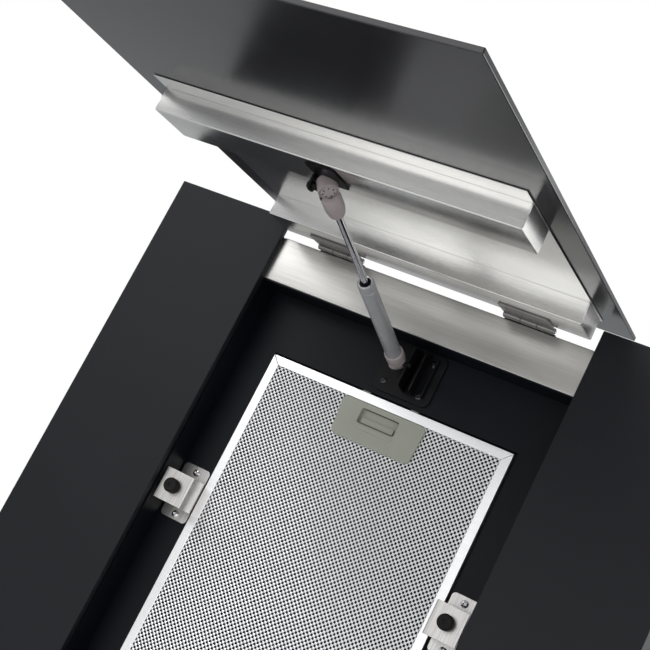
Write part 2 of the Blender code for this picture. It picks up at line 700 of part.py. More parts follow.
def make_hinges(lid):
    """Butt hinges: one leaf on the lid's channel, one on the strip's top flange, and a pin."""
    for x, word in zip(HINGE_X, ("left", "right")):
        start = x - HINGE_LENGTH / 2
        third = HINGE_LENGTH / 3
        ends = (start, start + HINGE_LENGTH)
        middle = (start + third + 0.3, start + 2 * third - 0.3)
        outer = ((start, start + third), (start + 2 * third, start + HINGE_LENGTH))

        leaf = box(f"hinge_{word}_lid_leaf", ends, LEAF_ALONG, (CHANNEL_IN + GAP, -0.6), "zinc",
                   lid)
        relief = box(f"lid_leaf_relief_{word}", (middle[0] - 0.6, middle[1] + 0.6), (-5, 4.5),
                     (-6, 6), frame=lid)
        cut(leaf, relief)
        for number, span in enumerate(outer):
            knuckle = cylinder(f"lid_knuckle_{word}_{number}", (span[0], 0, 0), (span[1], 0, 0),
                               KNUCKLE_R, frame=lid)
            join(leaf, knuckle)
        cut(leaf, cylinder(f"lid_leaf_bore_{word}", (start - 5, 0, 0), (ends[1] + 5, 0, 0),
                           HINGE_BORE_R, frame=lid))

        low, deep = HINGE_DOWN, HINGE_BACK
        fixed = box(f"hinge_{word}_case_leaf", ends, (-GAP - LEAF_THICK, -GAP),
                    (deep + 2.0, LEAF_BACK), "zinc")
        for number, span in enumerate(outer):
            gap = box(f"case_leaf_relief_{word}_{number}", (span[0] - 0.6, span[1] + 0.6),
                      (-9, 3), (-9, deep + 5.0))
            cut(fixed, gap)
        knuckle = cylinder(f"case_knuckle_{word}", (middle[0], low, deep), (middle[1], low, deep),
                           KNUCKLE_R)
        join(fixed, knuckle)
        cut(fixed, cylinder(f"case_leaf_bore_{word}", (start - 5, low, deep),
                            (ends[1] + 5, low, deep), HINGE_BORE_R))
        cylinder(f"hinge_{word}_pin", (start - 0.8, low, deep), (ends[1] + 0.8, low, deep),
                 HINGE_PIN_R, "steel", segments=16)


def make_upper_bracket(lid):
    """Angle bracket on the rail, with a stud that stops short of the strut's upper socket."""
    along, deep = STRUT_HIGH
    base_in = RAIL_IN + GAP
    left = UPPER_BASE_X[0]
    bracket = box("strut_bracket_upper", UPPER_BASE_X,
                  (along + UPPER_BASE_REACH[0], along + UPPER_BASE_REACH[1]),
                  (base_in, base_in + UPPER_BASE_THICK), "black_recess", lid)
    lug = box("upper_lug", (left, left + LUG_THICK),
              (along - UPPER_LUG_HALF, along + UPPER_LUG_HALF),
              (base_in, base_in + UPPER_LUG_TALL), frame=lid)
    join(bracket, lug)
    cut(bracket, cylinder("upper_lug_hole", (left - 10, along, deep), (left + 10, along, deep),
                          LUG_HOLE_R, frame=lid))
    cylinder("strut_stud_upper", (left - 2, along, deep),
             (STRUT_X - SOCKET_WIDTH / 2 - 0.4, along, deep), STUD_R, "zinc", lid)


def strut_ends():
    """Both eye centres in (down, back), and the strut's unit direction from low to high."""
    along, deep = STRUT_HIGH
    turn = LID_OPEN
    high_down = HINGE_DOWN + along * math.cos(turn) + deep * math.sin(turn)
    high_back = HINGE_BACK - along * math.sin(turn) + deep * math.cos(turn)
    low = Vector(STRUT_LOW)
    high = Vector((high_down, high_back))
    return low, high, (high - low).normalized()


def make_strut():
    low, high, way = strut_ends()
    length = (high - low).length

    def spot(distance, x=STRUT_X):
        return (x, low.x + way.x * distance, low.y + way.y * distance)

    origin = (STRUT_X, low.x, low.y)
    swing = pivot("strut_pivot", place(*origin))
    tube_body = Frame(swing, origin)
    tube = cylinder("strut_tube", spot(SOCKET_R + 4), spot(TUBE_END), TUBE_R, "strut_grey",
                    tube_body, segments=32)
    bore = cylinder("tube_bore", spot(SOCKET_R + 8), spot(TUBE_END + 5), TUBE_R - 1.2,
                    frame=tube_body, segments=32)
    cut(tube, bore)
    gland = cylinder("strut_gland", spot(TUBE_END - 10), spot(TUBE_END - 0.5), TUBE_R - 1.5,
                     "rubber", tube_body, segments=24)
    cut(gland, cylinder("gland_rod_bore", spot(TUBE_END - 20), spot(TUBE_END + 10),
                        ROD_R + 0.3, frame=tube_body, segments=24))
    side = SOCKET_WIDTH / 2
    socket = cylinder("strut_socket_lower", spot(0, STRUT_X - side), spot(0, STRUT_X + side),
                      SOCKET_R, "socket_plastic", tube_body)
    neck = cylinder("lower_neck", spot(5), spot(SOCKET_R + 3.7), 5.6, frame=tube_body)
    join(socket, neck)
    cut(socket, ball("lower_ball_space", spot(0), BALL_R + 0.3, frame=tube_body),
        cylinder("lower_stud_space", spot(0), spot(0, STRUT_X + 20), 4.4, frame=tube_body))

    slide_origin = spot(TUBE_END)
    rod_pivot = pivot("rod_pivot", tube_body.point(*slide_origin))
    rod_pivot.parent = swing
    rod_body = Frame(rod_pivot, slide_origin)
    socket_foot = length - SOCKET_LENGTH
    cylinder("strut_rod", spot(TUBE_END - 16), spot(socket_foot + 4), ROD_R, "steel", rod_body)
    piston = cylinder("strut_piston", spot(TUBE_END - 26), spot(TUBE_END - 16.3), TUBE_R - 1.6,
                      "zinc", rod_body)
    soften(piston, 0.6)
    upper = cylinder("strut_socket_upper", spot(length, STRUT_X - side),
                     spot(length, STRUT_X + side), SOCKET_R, "socket_plastic", rod_body)
    body = cylinder("upper_neck", spot(length - 3), spot(socket_foot), 7.5, frame=rod_body,
                    end_radius=6.0)
    join(upper, body)
    cut(upper, cylinder("upper_rod_hole", spot(socket_foot - 5), spot(socket_foot + 4.4),
                        ROD_R + 0.3, frame=rod_body))

    make_lower_bracket()


def make_lower_bracket():
    """Folded bracket on the recess floor, with a ball stud held between its upright lug."""
    down, back = STRUT_LOW
    seat = FLOOR_BACK - GAP
    bracket = box("strut_bracket_lower", LOWER_BASE_X, (RECESS_TOP + 2.5, LOWER_BASE_END),
                  (seat - LOWER_BASE_THICK, seat), "black_recess")
    for number, (x, tall) in enumerate(LOWER_LUGS):
        join(bracket, box(f"lower_lug_{number}", (x, x + LUG_THICK),
                          (RECESS_TOP + 4, LOWER_LUG_END), (tall, seat - 1)))
    near = LOWER_LUGS[0][0]
    cut(bracket, cylinder("lower_lug_hole", (near - 2, down, back), (near + 5, down, back),
                          LUG_HOLE_R))
    stud = cylinder("strut_stud_lower", (STRUT_X, down, back), (near + 4.5, down, back),
                    STUD_R - 0.1, "zinc", segments=16)
    join(stud, ball("stud_ball", (STRUT_X, down, back), BALL_R, segments=20))


clear_scene()
PARTS = collection("fume_extraction_hood")
CUTTERS = collection("cutters")
MATERIALS = {name: finish(name) for name in FINISHES}
HOOD = Frame()
make_wings()
make_hinge_strip()
make_recess()
make_fascia()
make_housing()
make_duct()
make_gland()
make_blower()
make_electrics()
make_catches()
make_filter()
make_lid()
make_strut()
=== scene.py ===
"""Looks of the wall-mounted fume extraction hood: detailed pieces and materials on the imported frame.

Sizes are in millimetres unless a name says otherwise. A place on the fixed hood is (x, down, back):
x to the right, down from the hinge strip's top edge, back from its front plane to the wall. A place
on the lid is (x, along, inward): along from the hinge axis to the free edge, inward towards the
hood when the lid is shut. On the strut, Z runs up from its lower ball. Names that end in _M, and the
places and sizes of the lights, are in metres.
"""
import json
import math

import bmesh
import bpy
from mathutils import Matrix, Vector


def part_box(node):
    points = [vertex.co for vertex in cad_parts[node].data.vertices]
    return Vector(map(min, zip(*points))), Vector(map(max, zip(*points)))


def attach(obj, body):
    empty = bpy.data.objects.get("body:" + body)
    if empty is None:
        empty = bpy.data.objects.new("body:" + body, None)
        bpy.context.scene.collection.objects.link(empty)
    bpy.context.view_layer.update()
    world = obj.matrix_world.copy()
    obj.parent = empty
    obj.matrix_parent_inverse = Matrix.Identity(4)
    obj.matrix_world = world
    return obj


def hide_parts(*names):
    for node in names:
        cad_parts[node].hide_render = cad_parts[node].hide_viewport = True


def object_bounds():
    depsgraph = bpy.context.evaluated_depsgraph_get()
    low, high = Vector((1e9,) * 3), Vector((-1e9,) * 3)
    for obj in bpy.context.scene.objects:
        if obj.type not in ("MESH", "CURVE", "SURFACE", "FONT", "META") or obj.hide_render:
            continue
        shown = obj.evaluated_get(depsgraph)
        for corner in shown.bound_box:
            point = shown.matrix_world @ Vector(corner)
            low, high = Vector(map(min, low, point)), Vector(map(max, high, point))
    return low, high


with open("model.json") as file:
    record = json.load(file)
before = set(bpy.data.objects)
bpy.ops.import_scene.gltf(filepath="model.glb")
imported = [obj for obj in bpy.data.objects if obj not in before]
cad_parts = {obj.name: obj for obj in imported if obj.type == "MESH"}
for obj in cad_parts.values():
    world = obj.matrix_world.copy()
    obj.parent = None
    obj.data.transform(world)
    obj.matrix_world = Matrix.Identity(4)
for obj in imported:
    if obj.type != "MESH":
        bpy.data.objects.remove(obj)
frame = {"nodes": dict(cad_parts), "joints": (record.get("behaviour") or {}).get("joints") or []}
CAD_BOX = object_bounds()

MM = 0.001
SMOOTH = math.radians(32)
JOINTS = {joint["name"]: joint for joint in frame["joints"]}


# ---------------------------------------------------------------- spaces

def hood_space():
    low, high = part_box("hinge_strip")
    return Matrix.Translation((0.0, low.y, high.z))


def lid_space():
    hinge = JOINTS["lid_hinge"]
    opened = math.radians(hinge["range_deg"][0])
    return Matrix.Translation(Vector(hinge["pos_m"])) @ Matrix.Rotation(opened, 4, "X")


def strut_space():
    """Z runs from the lower ball to the upper one, and X is the hood's X."""
    up = Vector(JOINTS["strut_slide"]["axis"]).normalized()
    across = Vector((1.0, 0.0, 0.0))
    out = up.cross(across)
    turn = Matrix((across, out, up)).transposed().to_4x4()
    return Matrix.Translation(Vector(JOINTS["strut_swing"]["pos_m"])) @ turn


HOOD = hood_space()
LID = lid_space()
STRUT = strut_space()


def at(x, down, back):
    """A local point in metres, in the hood's or the lid's own measures."""
    return Vector((x * MM, back * MM, -down * MM))


def local_box(node, space):
    """Low and high corners of a CAD node in a space, as (x, down, back) in millimetres."""
    inverse = space.inverted()
    points = [inverse @ vertex.co for vertex in frame["nodes"][node].data.vertices]
    x = [point.x / MM for point in points]
    back = [point.y / MM for point in points]
    down = [-point.z / MM for point in points]
    return (min(x), min(down), min(back)), (max(x), max(down), max(back))


# ---------------------------------------------------------------- material nodes

class Nodes:
    """A material's node tree with short calls for the nodes that repeat."""

    def __init__(self, name):
        self.material = bpy.data.materials.new(name)
        self.material.use_nodes = True
        self.tree = self.material.node_tree
        self.shader = self.tree.nodes["Principled BSDF"]
        self.place = self.node("ShaderNodeTexCoord").outputs["Object"]

    def node(self, kind, **settings):
        made = self.tree.nodes.new(kind)
        for key, value in settings.items():
            setattr(made, key, value)
        return made

    def link(self, source, target):
        self.tree.links.new(source, target)

    def set(self, **values):
        for key, value in values.items():
            self.shader.inputs[key.replace("_", " ")].default_value = value

    def stretched(self, scale):
        mapping = self.node("ShaderNodeMapping")
        mapping.inputs["Scale"].default_value = scale
        self.link(self.place, mapping.inputs["Vector"])
        return mapping.outputs["Vector"]

    def noise(self, scale, stretch=(1.0, 1.0, 1.0), detail=3.0, rough=0.5):
        made = self.node("ShaderNodeTexNoise")
        made.inputs["Scale"].default_value = scale
        made.inputs["Detail"].default_value = detail
        made.inputs["Roughness"].default_value = rough
        self.link(self.stretched(stretch), made.inputs["Vector"])
        return made.outputs["Fac"]

    def ramp(self, value, low, high, out_low, out_high):
        made = self.node("ShaderNodeMapRange")
        made.inputs["From Min"].default_value = low
        made.inputs["From Max"].default_value = high
        made.inputs["To Min"].default_value = out_low
        made.inputs["To Max"].default_value = out_high
        self.link(value, made.inputs["Value"])
        return made.outputs["Result"]

    def mix(self, value, first, second):
        made = self.node("ShaderNodeMix", data_type="RGBA")
        made.inputs["A"].default_value = (*first, 1.0)
        made.inputs["B"].default_value = (*second, 1.0)
        self.link(value, made.inputs["Factor"])
        return made.outputs["Result"]

    def colour(self, value, first, second):
        self.link(self.mix(value, first, second), self.shader.inputs["Base Color"])

    def roughness(self, value):
        self.link(value, self.shader.inputs["Roughness"])

    def bump(self, value, distance, strength=1.0):
        made = self.node("ShaderNodeBump")
        made.inputs["Distance"].default_value = distance
        made.inputs["Strength"].default_value = strength
        self.link(value, made.inputs["Height"])
        self.link(made.outputs["Normal"], self.shader.inputs["Normal"])


def brushed(name, dark, light, rough, stretch, bump_mm=0.012):
    """Brushed sheet metal: long scratches along one axis, with slow changes of tone."""
    made = Nodes(name)
    made.set(Metallic=1.0)
    scratches = made.noise(900.0, stretch, detail=4.0, rough=0.6)
    tone = made.noise(9.0, detail=3.0)
    made.colour(made.ramp(scratches, 0.3, 0.7, 0.0, 1.0), dark, light)
    made.roughness(made.ramp(tone, 0.35, 0.65, rough - 0.03, rough + 0.04))
    made.bump(scratches, bump_mm * MM)
    return made.material


def painted(name, dark, light, rough, specular=0.5):
    """Powder-coated sheet: fine orange peel and a faint change of tone."""
    made = Nodes(name)
    made.set(Specular_IOR_Level=specular)
    peel = made.noise(1400.0, detail=2.0)
    tone = made.noise(6.0, detail=4.0)
    made.colour(made.ramp(tone, 0.35, 0.65, 0.0, 1.0), dark, light)
    made.roughness(made.ramp(peel, 0.3, 0.7, rough - 0.03, rough + 0.03))
    made.bump(peel, 0.004 * MM)
    return made.material


def galvanised(name, dark, light, rough):
    """Zinc-coated sheet with its crystal spangle."""
    made = Nodes(name)
    made.set(Metallic=1.0)
    spangle = made.node("ShaderNodeTexVoronoi", distance="EUCLIDEAN")
    spangle.inputs["Scale"].default_value = 110.0
    made.link(made.place, spangle.inputs["Vector"])
    grey = made.node("ShaderNodeRGBToBW")
    made.link(spangle.outputs["Color"], grey.inputs["Color"])
    made.colour(made.ramp(grey.outputs["Val"], 0.1, 0.9, 0.0, 1.0), dark, light)
    made.roughness(made.ramp(grey.outputs["Val"], 0.1, 0.9, rough - 0.06, rough + 0.08))
    made.bump(made.noise(700.0), 0.004 * MM)
    return made.material


def plastic(name, dark, light, rough, grain=2200.0, bump_mm=0.010, specular=0.5):
    """Moulded plastic with a fine matt texture."""
    made = Nodes(name)
    made.set(Specular_IOR_Level=specular)
    texture = made.noise(grain, detail=3.0)
    tone = made.noise(25.0, detail=3.0)
    made.colour(made.ramp(tone, 0.35, 0.65, 0.0, 1.0), dark, light)
    made.roughness(made.ramp(texture, 0.3, 0.7, rough - 0.05, rough + 0.05))
    made.bump(texture, bump_mm * MM)
    return made.material


def glass_panel(name):
    """Black enamelled glass: deep, glossy, with the faintest waviness."""
    made = Nodes(name)
    made.set(Specular_IOR_Level=0.42)
    tone = made.noise(5.0, detail=2.0)
    made.colour(made.ramp(tone, 0.35, 0.65, 0.0, 1.0), (0.010, 0.010, 0.012), (0.014, 0.014, 0.017))
    made.roughness(made.ramp(tone, 0.3, 0.7, 0.16, 0.24))
    made.bump(made.noise(14.0, detail=1.0), 0.03 * MM)
    return made.material


def circuit_board(name):
    """Green lacquer over a regular pattern of tracks."""
    made = Nodes(name)
    tracks = made.node("ShaderNodeTexBrick")
    tracks.inputs["Scale"].default_value = 160.0
    made.link(made.place, tracks.inputs["Vector"])
    made.colour(tracks.outputs["Fac"], (0.02, 0.12, 0.05), (0.05, 0.22, 0.09))
    made.set(Roughness=0.4)
    return made.material


def lamp_lens(name):
    """Frosted, finely ribbed lamp cover."""
    made = Nodes(name)
    ribs = made.noise(1200.0, detail=1.0)
    made.colour(ribs, (0.80, 0.80, 0.76), (0.92, 0.92, 0.88))
    made.set(Roughness=0.3, Transmission_Weight=0.2)
    made.bump(ribs, 0.02 * MM)
    return made.material


# How a scratch noise is stretched, so that its scratches run along X or Z.
ALONG_X = (0.02, 1.0, 1.0)
ALONG_Z = (1.0, 1.0, 0.02)
EVEN = (1.0, 1.0, 1.0)
MATERIALS = {
    "wing": painted("wing_black_paint", (0.0085, 0.0090, 0.0118), (0.0100, 0.0106, 0.0138), 0.48,
                    specular=0.20),
    "recess": painted("recess_black_paint", (0.0022, 0.0028, 0.0050), (0.0032, 0.0040, 0.0070), 0.44,
                      specular=0.16),
    "bracket": painted("bracket_black_paint", (0.0020, 0.0021, 0.0028), (0.0032, 0.0034, 0.0044), 0.38,
                       specular=0.16),
    "glass": glass_panel("lid_black_glass"),
    "strip": brushed("strip_brushed_steel", (0.46, 0.452, 0.435), (0.56, 0.552, 0.53), 0.31, ALONG_X,
                     0.005),
    "lid_steel": brushed("lid_brushed_steel", (0.64, 0.635, 0.62), (0.72, 0.715, 0.70), 0.21,
                         ALONG_X, 0.003),
    # Zinc-plated hinge steel made much darker than its own tone: painted shade of the leaves on the
    # lid's dark crown.
    "hinge_zinc_painted_shade": brushed("hinge_zinc_painted_shade", (0.15, 0.145, 0.14), (0.24, 0.235, 0.23), 0.26, ALONG_X, 0.004),
    "bright_steel": brushed("bright_steel", (0.60, 0.60, 0.62), (0.72, 0.72, 0.74), 0.22, ALONG_X),
    "catch_steel": brushed("catch_steel", (0.46, 0.445, 0.435), (0.68, 0.66, 0.64), 0.29, ALONG_Z,
                           0.008),
    "filter_rim": brushed("filter_rim_aluminium", (0.86, 0.86, 0.865), (0.93, 0.93, 0.935), 0.33,
                          ALONG_X, 0.004),
    "filter_mesh": brushed("filter_mesh_aluminium", (0.78, 0.78, 0.79), (0.92, 0.92, 0.93), 0.38,
                           EVEN, 0.004),
    # The filter's inner layers are near black: painted shade seen through the holes of the sheet in
    # front.
    "filter_painted_shade_core": brushed("filter_core_painted_shade", (0.012, 0.012, 0.013), (0.035, 0.035, 0.037), 0.6,
                           EVEN, 0.05),
    "galvanised": galvanised("galvanised_steel", (0.42, 0.43, 0.45), (0.56, 0.57, 0.59), 0.42),
    "tube": painted("strut_grey_paint", (0.26, 0.262, 0.272), (0.295, 0.297, 0.307), 0.27),
    "rod": brushed("strut_rod_steel", (0.50, 0.50, 0.53), (0.62, 0.62, 0.65), 0.12, ALONG_Z, 0.001),
    "socket": plastic("socket_plastic", (0.29, 0.250, 0.252), (0.33, 0.288, 0.288), 0.46),
    "handle": plastic("handle_plastic", (0.285, 0.292, 0.248), (0.315, 0.322, 0.272), 0.48),
    "rubber": plastic("black_rubber", (0.004, 0.0035, 0.0035), (0.007, 0.006, 0.006), 0.62, 900.0,
                      0.03, specular=0.2),
    "bracket_screw": brushed("black_zinc_screw", (0.045, 0.045, 0.048), (0.075, 0.075, 0.08), 0.34,
                             EVEN, 0.002),
    "circuit": circuit_board("circuit_board"),
    "lens": lamp_lens("lamp_lens"),
}


# ---------------------------------------------------------------- making pieces

def add_piece(name, bm, finish, body, replaces=(), space=HOOD, bevel=0.0, segments=2):
    """Turn a local mesh into a finished piece that rides on a body."""
    bmesh.ops.remove_doubles(bm, verts=bm.verts, dist=1e-6)
    bmesh.ops.recalc_face_normals(bm, faces=bm.faces)
    mesh = bpy.data.meshes.new(name)
    bm.to_mesh(mesh)
    bm.free()
    mesh.transform(space)
    mesh.materials.append(MATERIALS[finish])
    mesh.shade_smooth()
    mesh.set_sharp_from_angle(angle=SMOOTH)
    obj = bpy.data.objects.new(name, mesh)
    bpy.context.scene.collection.objects.link(obj)
    if bevel:
        edges = obj.modifiers.new("edges", "BEVEL")
        edges.width = bevel * MM
        edges.segments = segments
        edges.limit_method = "ANGLE"
        edges.angle_limit = SMOOTH
        edges.harden_normals = True
    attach(obj, body)
    if replaces:
        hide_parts(*replaces)
    return obj


def add_box(bm, x, down, back):
    low, high = at(x[0], down[0], back[0]), at(x[1], down[1], back[1])
    size = high - low
    scale = Matrix.Diagonal((abs(size.x), abs(size.y), abs(size.z), 1.0))
    bmesh.ops.create_cube(bm, size=1.0, matrix=Matrix.Translation((low + high) / 2) @ scale)


def add_prism(bm, first, last):
    """A solid between two outlines with the same number of local points."""
    loops = [[bm.verts.new(point) for point in outline] for outline in (first, last)]
    count = len(first)
    for index in range(count):
        after = (index + 1) % count
        bm.faces.new((loops[0][index], loops[0][after], loops[1][after], loops[1][index]))
    bm.faces.new(loops[0])
    bm.faces.new(list(reversed(loops[1])))


def add_extrusion(bm, outline, start, end):
    """A closed (down, back) outline swept from x = start to x = end."""
    first, last = [[at(x, down, back) for down, back in outline] for x in (start, end)]
    add_prism(bm, first, last)


def add_slab(bm, outline, back):
    """A closed (x, down) outline made solid between two back measures."""
    first, last = [[at(x, down, depth) for x, down in outline] for depth in back]
    add_prism(bm, first, last)


def corner_arc(before, corner, after, radius, steps=4):
    """Points of the arc that rounds a corner between two straight edges."""
    to_before = (before - corner).normalized()
    to_after = (after - corner).normalized()
    half = to_before.angle(to_after) / 2
    reach = radius / math.tan(half)
    centre = corner + (to_before + to_after).normalized() * (radius / math.sin(half))
    first = corner + to_before * reach - centre
    last = corner + to_after * reach - centre
    shares = [step / steps for step in range(steps + 1)]
    blends = [first * (1 - share) + last * share for share in shares]
    return [tuple(centre + blend.normalized() * radius) for blend in blends]


def rounded(points, radius, steps=4):
    """A closed outline in 2D with each corner turned into a short arc."""
    result = []
    count = len(points)
    for index in range(count):
        before, corner, after = (Vector(points[(index + k) % count]) for k in (-1, 0, 1))
        result += corner_arc(before, corner, after, radius, steps)
    return result


def sheet_profile(path, thick, radius):
    """The closed outline of a bent sheet that follows a path of (down, back) corners."""
    def offset(side):
        moved = []
        for index, corner in enumerate(path):
            here = Vector(corner)
            normals = []
            if index:
                way = (here - Vector(path[index - 1])).normalized()
                normals.append(Vector((-way.y, way.x)))
            if index < len(path) - 1:
                way = (Vector(path[index + 1]) - here).normalized()
                normals.append(Vector((-way.y, way.x)))
            mean = sum(normals, Vector((0, 0))).normalized()
            moved.append(here + mean * side / mean.dot(normals[0]))
        return moved

    outer, inner = offset(0.0), offset(thick)
    closed = [tuple(p) for p in outer] + [tuple(p) for p in reversed(inner)]
    return bend_corners(closed, len(path), thick, radius)


def bend_corners(closed, count, thick, radius):
    """Round the bends of a sheet outline and leave its two cut ends square."""
    result = []
    total = len(closed)
    for index in range(total):
        if index in (0, count - 1, count, total - 1):
            result.append(closed[index])
            continue
        before, corner, after = (Vector(closed[(index + k) % total]) for k in (-1, 0, 1))
        way_in, way_out = corner - before, after - corner
        outside = (way_in.cross(way_out) < 0) == (index < count)
        result += corner_arc(before, corner, after, radius + thick if outside else radius)
    return result


def turned_place(origin, axis):
    """Maps Z to an axis through a local origin."""
    return Matrix.Translation(origin) @ axis.to_track_quat("Z", "Y").to_matrix().to_4x4()


def add_circle(bm, place, along, radius, segments):
    ring = []
    for step in range(segments):
        angle = math.tau * step / segments
        spot = Vector((radius * math.cos(angle), radius * math.sin(angle), along)) * MM
        ring.append(bm.verts.new(place @ spot))
    return ring


def add_turned(bm, profile, origin, axis, segments):
    """A solid of revolution from (along, radius) points; a radius of 0 closes an end in a tip."""
    place = turned_place(origin, axis)
    rings = []
    for along, radius in profile:
        if radius == 0.0:
            rings.append([bm.verts.new(place @ Vector((0, 0, along * MM)))])
        else:
            rings.append(add_circle(bm, place, along, radius, segments))
    for low, high in zip(rings, rings[1:]):
        for step in range(segments):
            after = (step + 1) % segments
            if len(low) == 1:
                bm.faces.new((low[0], high[after], high[step]))
            elif len(high) == 1:
                bm.faces.new((low[step], low[after], high[0]))
            else:
                bm.faces.new((low[step], low[after], high[after], high[step]))
    for ring in (rings[0], rings[-1]):
        if len(ring) > 1:
            bm.faces.new(ring)


def add_ring_turned(bm, profile, origin, axis, segments):
    """A turned solid whose profile is a closed loop that doesn't reach the axis."""
    place = turned_place(origin, axis)
    rings = [add_circle(bm, place, along, radius, segments) for along, radius in profile]
    for index, low in enumerate(rings):
        high = rings[(index + 1) % len(rings)]
        for step in range(segments):
            after = (step + 1) % segments
            bm.faces.new((low[step], low[after], high[after], high[step]))


def add_ring_slab(bm, outer, inner, back):
    """A plate with one hole; both outlines have the same number of (x, down) points."""
    rings = []
    for outline in (outer, inner):
        for depth in back:
            rings.append([bm.verts.new(at(x, down, depth)) for x, down in outline])
    outer_front, outer_back, inner_front, inner_back = rings
    count = len(outer)
    for index in range(count):
        after = (index + 1) % count
        for first, second in ((outer_front, outer_back), (outer_back, inner_back),
                              (inner_back, inner_front), (inner_front, outer_front)):
            bm.faces.new((first[index], first[after], second[after], second[index]))


def rectangle(x, down):
    return [(x[0], down[0]), (x[1], down[0]), (x[1], down[1]), (x[0], down[1])]


def add_screw(bm, origin, outward, radius, height):
    """A pan-head screw with a cross recess, standing on a face at a local origin."""
    head = [(0.0, radius), (height * 0.45, radius * 0.96), (height * 0.8, radius * 0.72),
            (height, radius * 0.42)]
    slot = [(height * 0.95, radius * 0.40), (height * 0.45, radius * 0.16), (height * 0.4, 0.0)]
    add_turned(bm, head + slot, origin, outward, 16)


# ---------------------------------------------------------------- hood

def dress_cad(finish, *nodes):
    for node in nodes:
        mesh = frame["nodes"][node].data
        mesh.materials.clear()
        mesh.materials.append(MATERIALS[finish])


def dress_carried_nodes():
    """Every CAD piece whose own shape is kept gets its finish here."""
    dress_cad("wing", "wing_left", "wing_right", "case_left", "case_right", "control_fascia")
    dress_cad("recess", "recess_tray", "filter_ledge", "outlet_spigot", "flap_left", "flap_right")
    dress_cad("glass", "lid_glass")
    dress_cad("galvanised", "housing", "blower_scroll", "motor", "motor_bracket", "impeller")
    dress_cad("bright_steel", "flap_pin", "motor_shaft", "button_1", "button_2", "button_3",
              "button_4", "hinge_left_pin", "hinge_right_pin", "strut_piston")
    dress_cad("rubber", "cable_gland", "terminal_box", "strut_gland")
    dress_cad("handle", "filter_latch")
    dress_cad("circuit", "control_board")
    dress_cad("lens", "lamp_left", "lamp_right")
    dress_cad("bracket", "strut_stud_upper", "strut_stud_lower")


SHEET = 1.0
STRIP_BEND = 0.8
STRIP_RETURN = 10.0


def make_strip():
    """The steel strip is one sheet: a top flange, the face, and a return at its lower edge."""
    (left, top, front), (right, foot, back) = local_box("hinge_strip", HOOD)
    path = [(top, back), (top, front), (foot, front), (foot, front + STRIP_RETURN)]
    bm = bmesh.new()
    add_extrusion(bm, sheet_profile(path, SHEET, STRIP_BEND), left, right)
    add_piece("strip_folded", bm, "strip", "hood", ["hinge_strip"], bevel=0.15)


# ---------------------------------------------------------------- lid

HAT_BEND = 0.9
HAT_REACH = 0.28  # the feet reach this much further to the plate than the CAD piece does
CAP_THICK = 0.9
CAP_INSET = 0.15
CAP_ROUND = 1.2


def make_lid_steel():
    low, high = local_box("lid_plate", LID)
    bm = bmesh.new()
    add_box(bm, *zip(low, high))
    add_piece("lid_base_plate", bm, "lid_steel", "lid", ["lid_plate"], LID, bevel=0.3)
    make_hat("lid_rail", "lid_rail_folded")
    make_hat("lid_channel", "lid_channel_folded")


def make_hat(node, name):
    """A folded hat section whose feet reach down to the plate, with a plate closing each end."""
    (left, start, base), (right, end, crown) = local_box(node, LID)
    foot = base - HAT_REACH
    path = [(end, foot), (end, crown), (start, crown), (start, foot)]
    bm = bmesh.new()
    add_extrusion(bm, sheet_profile(path, SHEET, HAT_BEND), left + SHEET, right - SHEET)
    near, far, face = start + CAP_INSET, end - CAP_INSET, crown - CAP_INSET
    cap = rounded([(near, foot), (far, foot), (far, face), (near, face)], CAP_ROUND)
    for side in (left, right - CAP_THICK):
        add_extrusion(bm, cap, side, side + CAP_THICK)
    add_piece(name, bm, "lid_steel", "lid", [node], LID, bevel=0.12)


# ---------------------------------------------------------------- strut

UP = Vector((0, 0, 1))
TUBE_R = 7.4
ROD_R = 3.0
GLAND_R = ROD_R + 0.6
GLAND_DEEP = 14.0
GROOVE_DOWN = 9.0
ROD_HIDDEN = 16.0
ROD_TIP_INSET = 2.0
SOCKET_R = 8.2
DRUM_HALF = 6.5
DRUM_BACK = 5.0  # the upper drum stands this far towards its bracket
DRUM_TURN = math.radians(-52)
CAP_HOLES = 7
CAP_HOLE_CIRCLE = 4.6
SLOT_SIZE = (1.6, 1.7, 4.6)  # out of the socket's side, along the drum, along the strut
SLOT_OUT = 7.3
SLOT_DOWN = 6.0


def strut_span(node):
    """Where a CAD piece starts and ends along the strut, in millimetres from the lower ball."""
    inverse = STRUT.inverted()
    heights = [(inverse @ vertex.co).z / MM for vertex in frame["nodes"][node].data.vertices]
    return min(heights), max(heights)


def make_strut():
    foot, mouth = strut_span("strut_tube")
    _, rod_tip = strut_span("strut_rod")
    make_tube(foot, mouth)
    make_highlight_rim(mouth)
    bm = bmesh.new()
    add_turned(bm, [(mouth - ROD_HIDDEN, ROD_R), (rod_tip - ROD_TIP_INSET, ROD_R)], Vector(), UP, 32)
    add_piece("strut_chrome_rod", bm, "rod", "strut_piston_rod", ["strut_rod"], STRUT)
    make_lower_socket()
    make_upper_socket(*strut_span("strut_socket_upper"))


def make_tube(foot, mouth):
    """The painted tube: a rounded foot, a groove near its mouth, and the mouth turned in."""
    groove = mouth - GROOVE_DOWN
    profile = [(foot + 1.0, 2.0), (foot, 4.2), (foot, 5.6), (foot + 1.6, TUBE_R - 0.5),
               (foot + 3.2, TUBE_R), (groove - 1.2, TUBE_R), (groove - 0.6, TUBE_R - 0.55),
               (groove + 0.6, TUBE_R - 0.55), (groove + 1.2, TUBE_R), (mouth - 1.3, TUBE_R),
               (mouth - 0.4, TUBE_R - 0.35), (mouth, TUBE_R - 1.1), (mouth - 0.1, TUBE_R - 2.0),
               (mouth - 0.9, TUBE_R - 2.6), (mouth - 1.4, GLAND_R), (mouth - GLAND_DEEP, GLAND_R)]
    bm = bmesh.new()
    add_turned(bm, profile, Vector(), UP, 40)
    add_piece("strut_cylinder_tube", bm, "tube", "strut_cylinder", ["strut_tube"],
              STRUT)


